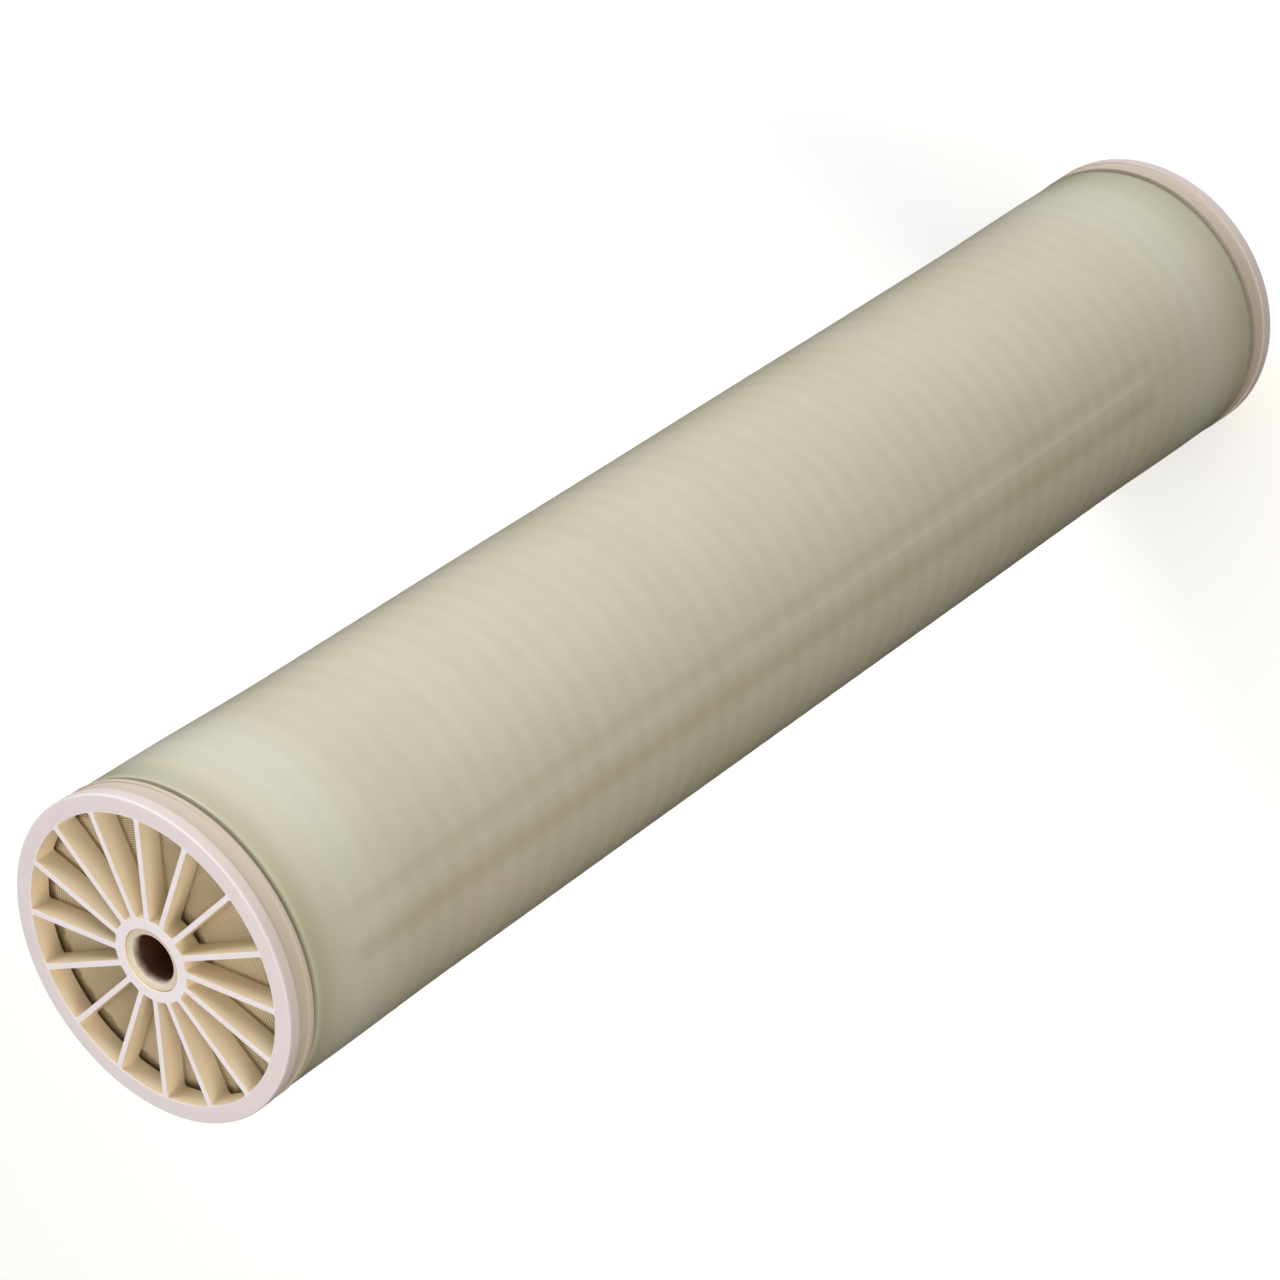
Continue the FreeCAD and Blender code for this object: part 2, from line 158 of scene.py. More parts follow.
class TubeSettings(bpy.types.PropertyGroup):
    """Sizes and colours of the permeate tube."""

    bore: length("Bore", "Inner radius", 14.3)
    wall: length("Wall", "Wall of the tube", 5.2)
    bevel: length("Bevel", "Lead-in bevel at the mouth", 1.5)
    hole: length("Hole", "Radius of a permeate hole", 1.75)
    hole_margin: length("Hole margin", "First hole from the tube's end", 56)
    hole_steps: IntProperty(name="Hole places", description="Places with holes", default=26)
    plastic: colour("Plastic", "Colour of the tube", paint(230, 217, 196))
    # Painted shade: the dark brown put deep in the bore.
    bore_shade: colour("Depths", "Colour deep in the bore", paint(66, 32, 14))


class WindingSettings(bpy.types.PropertyGroup):
    """Sizes and colours of the wound leaves and nets."""

    packet: length("Packet", "A leaf with its net", 1.42)
    leaf_share: share("Leaf share", "Share of a packet that the leaf fills", 0.408)
    strand: length("Strand", "Spacing of the net's strands", 2.7)
    leaf: colour("Leaf", "Colour of the cut membrane edges", paint(236, 219, 188))
    net: colour("Net", "Colour of the cut net", paint(229, 210, 176))
    # Painted shade: the colour put in the open gaps between the strands.
    gap: colour("Gap", "Colour in the gaps between strands", paint(186, 160, 114))
    # Painted shadow: the brown put on the winding where the cap's hub and rim shade it.
    painted_shade: colour("Stain", "Colour of the stain beside hub and rim", paint(112, 80, 34))
    cloth: colour("Cloth", "Colour of the permeate cloth", paint(232, 220, 190))
    film: colour("Film", "Colour of the film", paint(214, 210, 188))
    tape: colour("Tape", "Colour of the filament tape", paint(210, 214, 190))


class StageSettings(bpy.types.PropertyGroup):
    """The floor, the lights and the camera."""

    floor: colour("Floor", "Colour of the floor", paint(250, 250, 248))
    key: FloatProperty(name="Key", description="Power of the key light", default=98,
                       unit="POWER")
    fill: FloatProperty(name="Fill", description="Power of the fill light", default=88,
                        unit="POWER")
    front: FloatProperty(name="Front", description="Power of the light over the cap",
                         default=30, unit="POWER")
    sky: FloatProperty(name="Sky", description="Strength of the even light", default=0.8)
    lens: FloatProperty(name="Lens", description="Focal length in millimetres", default=131.2)


class Signal:
    """A socket of a node tree, so that a sum on sockets is written as a sum in Python."""

    def __init__(self, nodes, socket):
        self.nodes = nodes
        self.socket = socket

    def maths(self, operation, *values, clamp=False):
        """A Math node on this signal and other values."""
        settings = {"operation": operation, "use_clamp": clamp}
        return self.nodes.node("ShaderNodeMath", settings, dict(enumerate((self, *values))))

    def __add__(self, other):
        return self.maths("ADD", other)

    def __sub__(self, other):
        return self.maths("SUBTRACT", other)

    def __mul__(self, other):
        return self.maths("MULTIPLY", other)

    def __truediv__(self, other):
        return self.maths("DIVIDE", other)

    def __pow__(self, other):
        return self.maths("POWER", other)

    def __rsub__(self, other):
        return self.nodes.node("ShaderNodeMath", {"operation": "SUBTRACT"}, {0: other, 1: self})

    __radd__ = __add__
    __rmul__ = __mul__

    def clamped(self):
        """This signal held between none and all."""
        return self.maths("ADD", 0, clamp=True)


class Nodes:
    """A node tree of a material or a world, around the shader that it ends in."""

    def __init__(self, owner, shader):
        owner.use_nodes = True
        self.tree = owner.node_tree
        self.shader = self.tree.nodes[shader]

    def node(self, kind, settings=None, inputs=None, output=0):
        """Add a node: settings first, then the values or links of its sockets."""
        made = self.tree.nodes.new(kind)
        for name, value in (settings or {}).items():
            setattr(made, name, value)
        for socket, value in (inputs or {}).items():
            if isinstance(value, Signal):
                self.tree.links.new(value.socket, made.inputs[socket])
            else:
                made.inputs[socket].default_value = value
        return Signal(self, made.outputs[output])

    def feed(self, socket, signal):
        """Link a signal to a socket of the shader."""
        self.tree.links.new(signal.socket, self.shader.inputs[socket])


class Surface(Nodes):
    """A material around one Principled shader, with helpers that add its nodes."""

    def __init__(self, name, **constants):
        self.material = bpy.data.materials.new(name)
        super().__init__(self.material, "Principled BSDF")
        for socket, value in constants.items():
            self.shader.inputs[socket.replace("_", " ")].default_value = value

    def place(self):
        """The position on the element, and its parts across and along."""
        position = self.node("ShaderNodeTexCoord", output="Object")
        parts = [self.node("ShaderNodeSeparateXYZ", None, {0: position}, axis) for axis in "XYZ"]
        return position, *parts

    def polar(self):
        """The position, the angle around the element, the distance from its axis, the height."""
        position, across, along, height = self.place()
        angle = self.node("ShaderNodeMath", {"operation": "ARCTAN2"}, {0: along, 1: across})
        return position, angle, (across * across + along * along) ** 0.5, height

    def vector(self, across, along, height):
        """A vector from three numbers or signals."""
        return self.node("ShaderNodeCombineXYZ", None, {0: across, 1: along, 2: height})

    def noise(self, vector, scale, detail=2.0, roughness=0.5):
        """Smooth noise around one half, at a scale in features per unit."""
        inputs = {"Vector": vector, "Scale": scale, "Detail": detail, "Roughness": roughness}
        return self.node("ShaderNodeTexNoise", {"noise_dimensions": "3D"}, inputs)

    def step(self, signal, low, high):
        """None below low, all above high, and smooth between."""
        settings = {"interpolation_type": "SMOOTHSTEP"}
        return self.node("ShaderNodeMapRange", settings, {0: signal, 1: low, 2: high, 3: 0.0, 4: 1.0})

    def hill(self, signal, centre, half_width):
        """All at a centre, and none beyond half a width from it."""
        off = (signal - centre).maths("ABSOLUTE")
        return 1 - self.step(off, 0.0, half_width)

    def blend(self, factor, first, second, mode="MIX"):
        """Mix two colours, each a colour or a signal."""
        settings = {"data_type": "RGBA", "blend_type": mode}
        values = [value if isinstance(value, Signal) else (*value, 1) for value in (first, second)]
        return self.node("ShaderNodeMix", settings, {0: factor, 6: values[0], 7: values[1]}, 2)

    def bump(self, height, distance, strength=1.0):
        """Feed a height, as a share of a distance in metres, to the shader's normal."""
        inputs = {"Height": height, "Distance": distance, "Strength": strength}
        self.feed("Normal", self.node("ShaderNodeBump", None, inputs))


def new_mesh(name, vertices, faces, sharp=math.radians(32)):
    """An object of a mesh, smooth but for edges that turn by more than an angle."""
    mesh = bpy.data.meshes.new(name)
    mesh.from_pydata(vertices, [], faces)
    mesh.validate()
    mesh.shade_smooth()
    mesh.set_sharp_from_angle(angle=sharp)
    made = bpy.data.objects.new(name, mesh)
    bpy.context.scene.collection.objects.link(made)
    return made


def spin(name, outline, segments, shift=None):
    """Turn a closed outline of (radius, height) about Z into a closed mesh.

    shift moves the points outwards: it takes their angles, radii and heights.
    """
    radii, heights = (np.array(column)[:, None] for column in zip(*outline))
    angles = np.arange(segments)[None, :] * TURN / segments
    spread = radii + (shift(angles, radii, heights) if shift else 0)
    spread = np.broadcast_to(spread, (len(outline), segments))
    points = np.stack([spread * np.cos(angles), spread * np.sin(angles),
                       np.broadcast_to(heights, spread.shape)], axis=-1)
    rows = len(outline)
    faces = []
    for row in range(rows):
        here = row * segments
        after = (row + 1) % rows * segments
        for step in range(segments):
            turned = (step + 1) % segments
            faces.append((here + step, here + turned, after + turned, after + step))
    return new_mesh(name, points.reshape(-1, 3).tolist(), faces)


def apply_modifier(piece, kind, **settings):
    """Add a modifier to a piece and make its result the piece's mesh."""
    modifier = piece.modifiers.new(kind.title(), kind)
    for name, value in settings.items():
        setattr(modifier, name, value)
    graph = bpy.context.evaluated_depsgraph_get()
    graph.update()
    mesh = bpy.data.meshes.new_from_object(piece.evaluated_get(graph))
    piece.modifiers.clear()
    piece.data = mesh


def cut(piece, cutter):
    """Cut a piece with another one, which is used up."""
    apply_modifier(piece, "BOOLEAN", object=cutter, operation="DIFFERENCE", solver="EXACT")
    bpy.data.objects.remove(cutter)


def dress(piece, surface, slot, *nodes):
    """Give a piece its material and its body, and hide the nodes that it stands for; the slot is not
    used.
    """
    piece.data.materials.clear()
    piece.data.materials.append(surface.material)
    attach(piece, "root")
    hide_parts(*nodes)


def cap_plastic(settings):
    """Ivory moulding painted as lit and shaded copies: a painted highlight on its faces, painted shade
    that is warmer on its side and tan inside the windows, and a painted shadow on the skirt.
    """
    surface = Surface("cap_plastic", Roughness=0.42, Specular_IOR_Level=0.45)
    position, _, distance, height = surface.polar()
    end = LENGTH / 2 - (height - LENGTH / 2).maths("ABSOLUTE")
    cloud = surface.noise(position, 55, 3, 0.6)
    grain = surface.noise(position, 900, 2, 0.6)
    sunk = surface.step(end + (grain - 0.5) * 0.4 * MM, 0.35 * MM, 0.9 * MM)
    rim = settings.rim_radius
    inside = 1 - surface.step(distance, rim + 0.2 * MM, rim + 0.7 * MM)
    # Painted shade on the ring's side: past the face's rounded edge it turns half darker over the flange,
    # and fully darker on the groove, the lip and the skirt.
    side = surface.blend(surface.step(end, 0.8 * MM, 2.4 * MM) * 0.5, settings.face, settings.side)
    side = surface.blend(surface.step(end, 6.5 * MM, 8.5 * MM), side, settings.side)
    # Painted shade inside the windows: the walls are tan and darken further with depth down to the
    # spokes' back.
    deep = tuple(part * 0.82 for part in settings.wall)
    wall = surface.blend(surface.step(end, 2 * MM, settings.spoke_depth), settings.wall, deep)
    # Painted highlight: inside the rim, the fronts of spokes and hub are lighter than the ring's face.
    side = surface.blend(inside, side, settings.front)
    body = surface.blend(sunk * inside, side, wall)
    # Painted shadow on the skirt in the gap between ring and shell.
    under = surface.step(end, settings.ring - 0.4 * MM, settings.ring + 0.4 * MM)
    body = surface.blend(under * (1 - inside), body, settings.gap)
    body = surface.blend((cloud - 0.42).clamped() * 0.35, body, settings.side)
    surface.feed("Base Color", body)
    surface.feed("Roughness", 0.36 + grain * 0.12 + cloud * 0.08)
    surface.bump(grain * 0.3 + cloud * 0.7, 0.12 * MM, 0.5)
    return surface


def window_outline(settings, inward):
    """The corners of one window between two spokes, rounded, drawn inwards by a share."""
    half_turn = math.pi / settings.spokes
    half_width = settings.spoke_width / 2 + inward
    inner = settings.hub_radius + inward
    outer = settings.rim_radius - inward
    corner = settings.corner

    def corner_arc(radius, side, start, stop):
        """A rounded corner that touches a rim from inside the window and one spoke."""
        near = radius - corner if radius == outer else radius + corner
        offset = half_width + corner
        angle = half_turn - math.asin(offset / near)
        centre = (near * math.cos(angle), side * near * math.sin(angle))
        steps = 6
        turns = [start + (stop - start) * step / steps for step in range(steps + 1)]
        return [(centre[0] + corner * math.cos(turn), centre[1] + corner * math.sin(turn))
                for turn in turns]

    def tangent(radius):
        near = radius - corner if radius == outer else radius + corner
        return half_turn - math.asin((half_width + corner) / near)

    outer_turn = tangent(outer)
    inner_turn = tangent(inner)
    points = []
    points += corner_arc(outer, -1, -half_turn - math.pi / 2, -outer_turn)
    points += [(outer * math.cos(turn), outer * math.sin(turn))
               for turn in np.linspace(-outer_turn, outer_turn, 16)[1:-1]]
    points += corner_arc(outer, 1, outer_turn, half_turn + math.pi / 2)
    points += corner_arc(inner, 1, half_turn + math.pi / 2, math.pi + inner_turn)
    points += [(inner * math.cos(turn), inner * math.sin(turn))
               for turn in np.linspace(inner_turn, -inner_turn, 8)[1:-1]]
    points += corner_arc(inner, -1, math.pi - inner_turn, 3 * math.pi / 2 - half_turn)
    return points


def window_cutter(settings):
    """One mesh of all the windows' prisms, a little narrower at the back."""
    levels = ((-1 * MM, -settings.spoke_draft / 2 / settings.spoke_depth * MM),
              (settings.spoke_depth + 0.5 * MM, settings.spoke_draft / 2))
    rings = [window_outline(settings, inward) for _, inward in levels]
    count = len(rings[0])
    vertices = []
    faces = []
    for index in range(settings.spokes):
        turn = Matrix.Rotation((index + 0.5) * TURN / settings.spokes, 3, "Z")
        first = len(vertices)
        for (height, _), ring in zip(levels, rings):
            vertices += [turn @ Vector((x, y, height)) for x, y in ring]
        faces.append([first + step for step in reversed(range(count))])
        faces.append([first + count + step for step in range(count)])
        for step in range(count):
            after = (step + 1) % count
            faces.append((first + step, first + after, first + count + after, first + count + step))
    return new_mesh("window_cutter", vertices, faces)


def cap_outline(settings):
    """Half the section of a cap with its face at zero height."""
    flange = settings.flange
    groove = ELEMENT_RADIUS - settings.groove_depth
    lip = ELEMENT_RADIUS - 0.3 * MM
    lip_start = flange + settings.groove
    return [
        (settings.hub_bore, 0), (50 * MM, 0), (ELEMENT_RADIUS - 1.2 * MM, 0),
        (ELEMENT_RADIUS - 0.35 * MM, 0.35 * MM), (ELEMENT_RADIUS, 1.2 * MM),
        (ELEMENT_RADIUS, flange), (groove, flange), (groove, lip_start), (lip, lip_start),
        (lip, settings.ring), (settings.skirt_outer, settings.ring),
        (settings.skirt_outer, SKIRT_LENGTH), (settings.skirt_inner, SKIRT_LENGTH),
        (settings.skirt_inner, settings.spoke_depth), (settings.hub_bore, settings.spoke_depth),
    ]


def build_cap(name, settings, surface, top):
    """Spin, cut and round one cap, and put it at its end of the element."""
    piece = spin(name, cap_outline(settings), 256)
    cut(piece, window_cutter(settings))
    apply_modifier(piece, "BEVEL", width=settings.edge, segments=3, limit_method="ANGLE",
                   angle_limit=math.radians(50), harden_normals=False)
    piece.data.shade_smooth()
    piece.data.set_sharp_from_angle(angle=math.radians(40))
    apply_modifier(piece, "WEIGHTED_NORMAL", weight=100, keep_sharp=True)
    flip = Matrix.Rotation(math.pi, 4, "X") if top else Matrix.Identity(4)
    lift = Matrix.Translation((0, 0, HIGH.z if top else LOW.z))
    turn = Matrix.Rotation(settings.spoke_turn, 4, "Z")
    piece.data.transform(lift @ turn @ flip)
    dress(piece, surface, "cap_plastic", name.replace("moulded_", ""))
    return piece


class ELEMENT_OT_end_caps(bpy.types.Operator):
    """Model both moulded end caps with their rings, spokes, hubs and skirts"""

    bl_idname = "element.end_caps"
    bl_label = "End caps"

    def execute(self, context):
        settings = context.scene.element_cap
        surface = cap_plastic(settings)
        build_cap("moulded_top_end_cap", settings, surface, top=True)
        build_cap("moulded_bottom_end_cap", settings, surface, top=False)
        return {"FINISHED"}


def glass_resin(settings):
    """Milky glass fibre in resin, with bands, fine fibres, end zones and the film's edge."""
    surface = Surface("glass_resin", Coat_Weight=0.8, Coat_Roughness=0.28)
    position, angle, _, height = surface.polar()
    below = HIGH.z - height
    cloud = surface.noise(position, 9, 3, 0.55)
    patch = surface.noise(position, 26, 3, 0.6)

    # Fibres run almost around the element, in two directions that cross.
    fibres = []
    for lean in (0.05, -0.05):
        lane = surface.vector(angle * 1.4, height * 420 + angle * lean * 200, lean * 40)
        fibres.append(surface.noise(lane, 1.0, 3, 0.6))
    fibre = (fibres[0] + fibres[1]) * 0.5

    wobble = (patch - 0.5) * 2.2
    band = (height * (TURN / settings.band) + angle * 1.0 + wobble).maths("SINE") * 0.5 + 0.5

    tone = surface.blend(surface.step(cloud, 0.38, 0.7) * 0.4, settings.resin, settings.green)
    tone = surface.blend(surface.step(patch, 0.5, 0.85) * 0.2, tone, settings.pale)

    # Over the tapes at both ends the shell is paler, and beside the rings it is greener.
    ragged = (cloud - 0.5) * 22 * MM + (patch - 0.5) * 10 * MM
    top_zone = surface.hill(below + ragged, 72 * MM, 46 * MM)
    low_zone = surface.hill(height + ragged, 78 * MM, 46 * MM)
    tone = surface.blend((top_zone + low_zone * 0.8) * 0.7, tone, settings.pale)
    top_rim = 1 - surface.step(SHELL_BOX[1].z - height + ragged * 0.3, 0.0, 26 * MM)
    low_rim = 1 - surface.step(height - SHELL_BOX[0].z + ragged * 0.3, 0.0, 36 * MM)
    tone = surface.blend((top_rim + low_rim) * 0.75, tone, settings.rim)

    # The film's free edge shows through as a light line beside a darker hollow.
    sway = (surface.noise(surface.vector(0.0, 0.0, height), 9, 2) - 0.5) * math.radians(1.2)
    turn = angle + sway
    span = surface.step(below, 46 * MM, 70 * MM) * (1 - surface.step(below, 862 * MM, 878 * MM))
    fresh = 0.3 + surface.step(below, 380 * MM, 560 * MM) * 0.7
    edge = surface.hill(turn, math.radians(16), math.radians(2.2)) * span * fresh
    hollow = surface.hill(turn, math.radians(7), math.radians(7)) * span
    second = surface.hill(turn, math.radians(22.5), math.radians(4)) * span
    tone = surface.blend(hollow * 0.32 + second * 0.16, tone, settings.olive)
    tone = surface.blend(edge * 0.5, tone, settings.pale)

    shade = 0.965 + (band - 0.5) * 0.02 + (fibre - 0.5) * 0.14
    surface.feed("Base Color", surface.blend(1.0, tone, surface.vector(shade, shade, shade), "MULTIPLY"))
    surface.feed("Roughness", 0.34 + fibre * 0.16 + (patch - 0.5) * 0.12)
    surface.bump(fibre * 0.55 + band * 0.45 + edge * 0.6, 0.2 * MM, 0.6)
    return surface


def shell_outline(settings):
    """Half the section of the shell, with close rows along its outside."""
    start = SHELL_BOX[0].z
    stop = SHELL_BOX[1].z
    edge = 0.8 * MM
    skirt = SKIRT_LENGTH + 0.15 * MM
    slope = skirt + settings.seat - settings.bore
    rows = np.linspace(start + edge, stop - edge, 320)
    inside = [(settings.bore, HIGH.z - slope), (settings.bore, slope), (settings.seat, skirt),
              (settings.seat, start)]
    inside.insert(0, (settings.seat, HIGH.z - skirt))
    inside.insert(0, (settings.seat, stop))
    rim = settings.end_radius - edge * 0.9
    shoulder = settings.end_radius - edge * 0.3
    rise = edge * 0.35
    outer = [(rim, start), (shoulder, start + rise)]
    outer += [(settings.end_radius, float(row)) for row in rows]
    outer += [(shoulder, stop - rise), (rim, stop)]
    return outer + inside


def shell_relief(settings):
    """How far the shell's outside stands off its end radius, by angle and height."""
    generator = np.random.default_rng(8)
    waves = [(count, generator.uniform(0, TURN), generator.uniform(0.5, 3.0)) for count in (1, 2, 3, 5)]

    def relief(angles, radii, heights):
        outside = radii > settings.end_radius - 0.01 * MM
        ends = np.minimum(heights - SHELL_BOX[0].z, SHELL_BOX[1].z - heights)
        slim = np.clip((ends - settings.land) / settings.taper, 0, 1)
        slim = slim * slim * (3 - 2 * slim)
        phase = heights * TURN / settings.band + angles
        height = settings.band_height * (0.5 + 0.5 * np.sin(phase)) * slim
        wave = sum(0.05 * MM * np.sin(count * angles + start + drift * heights * 8)
                   for count, start, drift in waves)
        lap = 0.3 * MM * np.exp(-((angles - math.radians(15.5)) / math.radians(1.1)) ** 2)
        lap = lap * (ends > 40 * MM) * slim
        return np.where(outside, -settings.flare * slim - settings.band_height * slim + height
                        + (wave - 0.15 * MM) * np.clip(ends / (20 * MM), 0, 1) + lap, 0 * angles)

    return relief


class ELEMENT_OT_shell(bpy.types.Operator):
    """Model the wound glass fibre shell with its bands, flare and film ridge"""

    bl_idname = "element.shell"
    bl_label = "Glass fibre shell"

    def execute(self, context):
        settings = context.scene.element_shell
        piece = spin("wound_shell", shell_outline(settings), 256, shell_relief(settings))
        dress(piece, glass_resin(settings), "glass_resin", "glass_shell")
        return {"FINISHED"}


def tube_plastic(settings):
    """Cream tube with painted shade: darker and browner inside the bore, and brown the deeper the bore is
    looked into.
    """
    surface = Surface("tube_plastic", Roughness=0.45, Specular_IOR_Level=0.4)
    position, across, along, height = surface.place()
    distance = (across * across + along * along) ** 0.5
    end = LENGTH / 2 - (height - LENGTH / 2).maths("ABSOLUTE")
    inside = 1 - surface.step(distance, settings.bore + 0.6 * MM, settings.bore + 1.4 * MM)
    drawn = surface.noise(surface.vector(across * 300, along * 300, height * 12), 1.0, 3, 0.6)
    # Noise that makes the edge of the painted shade deep in the bore ragged.
    painted_shade = surface.noise(position, 120, 3, 0.6)
    deep = surface.step(end + (painted_shade - 0.5) * 6 * MM, -0.5 * MM, 8 * MM) * inside
    # Painted shade: the bore's wall is darkened towards brown, and from about 8 mm in it is fully the
    # dark brown.
    warm = surface.blend(inside * 0.55, settings.plastic, settings.bore_shade, "MULTIPLY")
    tone = surface.blend(deep, surface.blend(inside * 0.35, settings.plastic, warm), settings.bore_shade)
    # Streaks from drawing darken the whole tube a little towards the same brown.
    surface.feed("Base Color", surface.blend((drawn - 0.4).clamped() * 0.4, tone, settings.bore_shade))
    surface.feed("Roughness", 0.38 + drawn * 0.2)
    surface.bump(drawn, 0.06 * MM, 0.5)
    return surface


def tube_outline(settings):
    """Half the section of the tube's wall, with its bevelled mouths."""
    low = TUBE_BOX[0].z
    high = TUBE_BOX[1].z
    outer = settings.bore + settings.wall
    bevel = settings.bevel
    return [
        (settings.bore + bevel, low), (outer - 0.5 * MM, low), (outer, low + 0.5 * MM),
        (outer, high - 0.5 * MM), (outer - 0.5 * MM, high), (settings.bore + bevel, high),
        (settings.bore + 0.35 * bevel, high - 0.55 * bevel), (settings.bore, high - 1.2 * bevel),
        (settings.bore, low + 1.2 * bevel), (settings.bore + 0.35 * bevel, low + 0.55 * bevel),
    ]


def hole_cutter(settings):
    """Rods that cross the tube at each place that has holes, in two directions."""
    first = TUBE_BOX[0].z + settings.hole_margin
    last = TUBE_BOX[1].z - settings.hole_margin
    reach = settings.bore + settings.wall + 2 * MM
    sides = 16
    vertices = []
    faces = []
    for height in np.linspace(first, last, settings.hole_steps):
        for turn in (0, math.pi / 2):
            spin_to = Matrix.Rotation(turn, 3, "Z")
            base = len(vertices)
            for end in (-reach, reach):
                for side in range(sides):
                    angle = side * TURN / sides
                    ring = Vector((settings.hole * math.cos(angle), end, settings.hole * math.sin(angle)))
                    vertices.append(spin_to @ ring + Vector((0, 0, height)))
            faces.append([base + side for side in range(sides)])
            faces.append([base + sides + side for side in reversed(range(sides))])
            for side in range(sides):
                after = (side + 1) % sides
                faces.append((base + after, base + side, base + sides + side, base + sides + after))
    return new_mesh("hole_cutter", vertices, faces)


class ELEMENT_OT_tube(bpy.types.Operator):
    """Model the perforated permeate tube with bevelled mouths"""

    bl_idname = "element.tube"
    bl_label = "Permeate tube"

    def execute(self, context):
        settings = context.scene.element_tube
        piece = spin("drilled_permeate_tube", tube_outline(settings), 96)
        cutter = hole_cutter(settings)
        apply_modifier(piece, "BOOLEAN", object=cutter, operation="DIFFERENCE", solver="EXACT",
                       use_self=True)
        bpy.data.objects.remove(cutter)
        piece.data.shade_smooth()
        piece.data.set_sharp_from_angle(angle=math.radians(32))
        dress(piece, tube_plastic(settings), "tube_plastic", "permeate_tube")
        return {"FINISHED"}


def winding_place(surface, settings):
    """Where a point lies in the winding: in which packet, how far across it and along."""
    position, angle, distance, _ = surface.polar()
    base = settings.packet * len(LEAVES) / TURN
    unwound = (distance * distance - base * base).maths("MAXIMUM", 0.0) ** 0.5 / base
    packets = (unwound - unwound.maths("ARCTANGENT") - angle) * (len(LEAVES) / TURN)
    packets = packets + len(LEAVES)
    along = unwound * unwound * (base / 2) + packets.maths("FLOOR") * 17.3 * MM
    return position, distance, packets.maths("FRACT"), along


def shaded_by_cap(surface, settings, position, distance, tone):
    """Painted shadow: brown where the cap's hub and rim stand over the winding and shade it."""
    cloud = surface.noise(position, 90, 3, 0.65)
    ragged = (cloud - 0.5) * 14 * MM
    hub = 1 - surface.step(distance + ragged, 26 * MM, 33 * MM)
    rim = surface.step(distance + ragged, 84.5 * MM, 89.5 * MM)
    return surface.blend((hub + rim) * 0.7, tone, settings.painted_shade)


def leaf_edge(settings):
    """The cut edge of a leaf: white cloth between two membranes that are glued to it."""
    surface = Surface("leaf_edge", Roughness=0.6, Specular_IOR_Level=0.3)
    position, distance, across, along = winding_place(surface, settings)
    cloud = surface.noise(position, 70, 3, 0.6)
    fuzz = surface.noise(position, 1500, 2, 0.7)
    core = surface.hill(across, settings.leaf_share / 2, settings.leaf_share / 2)
    core = surface.step(core, 0.35, 0.7)
    glue = surface.step(cloud + (fuzz - 0.5) * 0.2, 0.42, 0.6)
    tone = surface.blend(core * (1 - glue * 0.7), settings.leaf, settings.cloth)
    thread = (along * (TURN / (0.9 * MM))).maths("SINE") * core
    darker = tuple(part * 0.7 for part in settings.leaf)
    tone = surface.blend((fuzz - 0.45).clamped() + thread.clamped() * 0.15, tone, darker)
    surface.feed("Base Color", shaded_by_cap(surface, settings, position, distance, tone))
    surface.feed("Roughness", 0.5 + fuzz * 0.3 - glue * 0.12)
    surface.bump(core * 0.4 + fuzz * 0.4 + thread * 0.1, 0.12 * MM, 0.6)
    return surface


def net_edge(settings):
    """The cut edge of a net: the ends of two crossing layers of strands, with painted shade in the gaps
    between them.
    """
    surface = Surface("net_edge", Roughness=0.6, Specular_IOR_Level=0.3)
    position, distance, across, along = winding_place(surface, settings)
    cloud = surface.noise(position, 45, 3, 0.6)
    fuzz = surface.noise(position, 1500, 2, 0.7)
    middle = (1 + settings.leaf_share) / 2
    ends = []
    for side in (-1, 1):
        beat = (along * (TURN / settings.strand) + cloud * 6 + side * 1.2).maths("COSINE")
        off = (across - (middle + side * 0.13)) * (1 / 0.16)
        ends.append(surface.step(beat - off * off * 0.9, -0.25, 0.5))
    strand = ends[0].maths("MAXIMUM", ends[1])
    # Painted shade fills the gaps between strands, and fine speckles of it follow.
    tone = surface.blend(strand, settings.gap, settings.net)
    tone = surface.blend(surface.step(cloud, 0.4, 0.75) * 0.3, tone, settings.leaf)
    tone = surface.blend((fuzz - 0.45).clamped(), tone, settings.gap)
    surface.feed("Base Color", shaded_by_cap(surface, settings, position, distance, tone))
    surface.feed("Roughness", 0.45 + fuzz * 0.3)
    surface.bump(strand * 0.7 + fuzz * 0.2, 0.25 * MM, 0.7)
    return surface


def wrapped_layer(name, settings_colour, fine, roughness):
    """A wound cloth, film or tape with fine threads along and around it."""
    surface = Surface(name, Roughness=roughness)
    position, angle, _, height = surface.polar()
    thread = (height * (TURN / fine)).maths("SINE") * (angle * 220).maths("SINE")
    cloud = surface.noise(position, 40, 3, 0.6)
    darker = tuple(part * 0.75 for part in settings_colour)
    surface.feed("Base Color", surface.blend(cloud * 0.4 + thread * 0.15, settings_colour, darker))
    surface.feed("Roughness", roughness + (cloud - 0.5) * 0.2)
    surface.bump(thread * 0.5 + 0.5, 0.05 * MM, 0.6)
    return surface


def coat_node(node, surface):
    """Give a carried-over node its material."""
    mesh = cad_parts[node].data
    mesh.materials.clear()
    mesh.materials.append(surface.material)


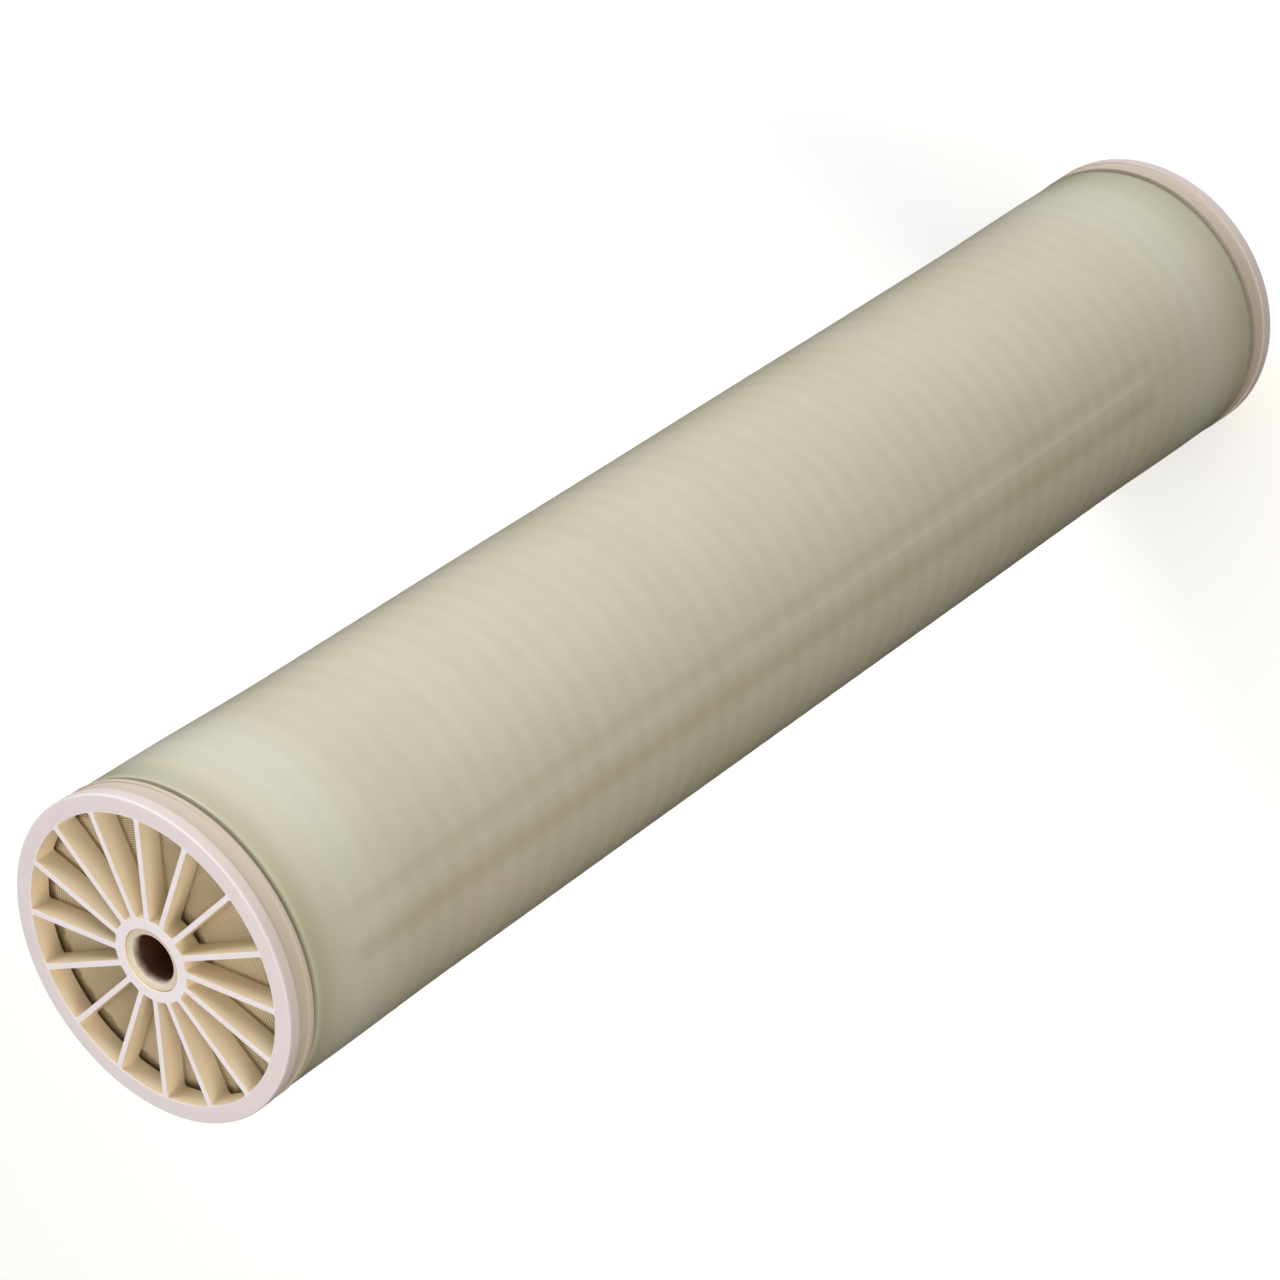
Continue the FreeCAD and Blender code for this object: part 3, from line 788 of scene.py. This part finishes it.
class ELEMENT_OT_winding(bpy.types.Operator):
    """Finish the wound leaves, nets, cloth, film and tapes"""

    bl_idname = "element.winding"
    bl_label = "Winding"

    def execute(self, context):
        settings = context.scene.element_winding
        leaf = leaf_edge(settings)
        net = net_edge(settings)
        for node in LEAVES:
            coat_node(node, leaf)
        for node in NETS:
            coat_node(node, net)
        coat_node("core_wrap", wrapped_layer("core_cloth", tuple(settings.cloth), 0.9 * MM, 0.8))
        coat_node("wrap_film", wrapped_layer("clear_film", tuple(settings.film), 6 * MM, 0.3))
        tape = wrapped_layer("filament_tape", tuple(settings.tape), 2.5 * MM, 0.4)
        for node in ("bottom_end_tape", "top_end_tape"):
            coat_node(node, tape)
        return {"FINISHED"}


def add_floor(settings):
    """A wide plain floor under the element."""
    half = 14
    corners = [(-half, -half, LOW.z), (half, -half, LOW.z), (half, half, LOW.z), (-half, half, LOW.z)]
    floor = new_mesh("floor", corners, [(0, 1, 2, 3)])
    surface = Surface("floor_paint", Roughness=0.9, Specular_IOR_Level=0.1,
                      Emission_Color=(1, 1, 1, 1), Emission_Strength=0.34)
    position, *_ = surface.place()
    cloud = surface.noise(position, 1.5, 2)
    dimmer = tuple(part * 0.985 for part in settings.floor)
    surface.feed("Base Color", surface.blend(cloud, tuple(settings.floor), dimmer))
    floor.data.materials.append(surface.material)
    floor.visible_diffuse = False
    floor.visible_glossy = False


def add_light(name, power, size, direction, tint):
    """A soft square light, four metres from the element's middle in a direction."""
    lamp = bpy.data.lights.new(name, "AREA")
    lamp.energy = power
    lamp.size = size
    lamp.color = tint
    light = bpy.data.objects.new(name, lamp)
    towards = Vector(direction).normalized()
    light.location = Vector((0, 0, LENGTH * 0.55)) + 4 * towards
    light.rotation_euler = towards.to_track_quat("Z", "Y").to_euler()
    bpy.context.scene.collection.objects.link(light)


def add_sky(strength):
    """Even light that is strongest from one side above and fades out on the other side."""
    world = bpy.data.worlds.new("even_light")
    sky = Nodes(world, "Background")
    direction = sky.node("ShaderNodeTexCoord")
    inputs = {0: direction, 1: Vector((0, 0.97, 0.243))}
    facing = sky.node("ShaderNodeVectorMath", {"operation": "DOT_PRODUCT"}, inputs, 1)
    sky.feed("Strength", (facing * 0.75 + 0.25).clamped() * strength)
    sky.shader.inputs["Color"].default_value = (1, 1, 1, 1)
    bpy.context.scene.world = world


def add_camera(settings):
    """A long lens that looks down over the upper cap, rolled until the element lies across."""
    lens = bpy.data.cameras.new("camera")
    lens.lens = settings.lens
    lens.sensor_width = 36
    lens.clip_end = 60
    camera = bpy.data.objects.new("camera", lens)
    right = Vector((0.79459, 0, -0.60715))
    down = Vector((0.31107, -0.85877, 0.40712))
    forward = right.cross(down)
    place = Vector((1.4825, 1.4522, HIGH.z + 1.5010))
    turn = Matrix((right, -down, -forward)).transposed().to_4x4()
    camera.matrix_world = Matrix.Translation(place) @ turn
    bpy.context.scene.collection.objects.link(camera)
    bpy.context.scene.camera = camera


class ELEMENT_OT_stage(bpy.types.Operator):
    """Set the floor, the soft lights and the camera"""

    bl_idname = "element.stage"
    bl_label = "Stage"

    def execute(self, context):
        settings = context.scene.element_stage
        add_floor(settings)
        add_light("key_light", settings.key, 2.0, (-0.4, 0.87, 0.28), (0.97, 0.98, 1.0))
        add_light("fill_light", settings.fill, 2.5, (0.78, -0.12, 0.6), (1.0, 0.94, 0.85))
        add_light("front_light", settings.front, 2.0, (0.1, 0.1, 1.0), (1.0, 1.0, 1.0))
        add_sky(settings.sky)
        context.scene.view_settings.view_transform = "Standard"
        add_camera(settings)
        return {"FINISHED"}


class ELEMENT_PT_panel(bpy.types.Panel):
    """The element's build steps and settings in the 3D view's sidebar"""

    bl_label = "Membrane element"
    bl_idname = "ELEMENT_PT_panel"
    bl_space_type = "VIEW_3D"
    bl_region_type = "UI"
    bl_category = "Element"

    def draw(self, context):
        for operator in OPERATORS:
            self.layout.operator(operator.bl_idname)
        for name, group in SETTINGS.items():
            box = self.layout.box()
            box.label(text=group.__doc__)
            for field in group.__annotations__:
                box.prop(getattr(context.scene, name), field)


SETTINGS = {
    "element_cap": CapSettings,
    "element_shell": ShellSettings,
    "element_tube": TubeSettings,
    "element_winding": WindingSettings,
    "element_stage": StageSettings,
}
OPERATORS = (
    ELEMENT_OT_end_caps,
    ELEMENT_OT_shell,
    ELEMENT_OT_tube,
    ELEMENT_OT_winding,
    ELEMENT_OT_stage,
)


def register():
    """Register the classes and give the scene its settings."""
    for group in (*SETTINGS.values(), *OPERATORS, ELEMENT_PT_panel):
        bpy.utils.register_class(group)
    for name, group in SETTINGS.items():
        setattr(bpy.types.Scene, name, PointerProperty(type=group))


def unregister():
    """Take the settings and the classes away again."""
    for name in SETTINGS:
        delattr(bpy.types.Scene, name)
    for group in reversed((*SETTINGS.values(), *OPERATORS, ELEMENT_PT_panel)):
        bpy.utils.unregister_class(group)


def main():
    """Build every piece in order."""
    register()
    bpy.ops.element.end_caps()
    bpy.ops.element.shell()
    bpy.ops.element.tube()
    bpy.ops.element.winding()
    bpy.ops.element.stage()


if __name__ == "__main__":
    main()
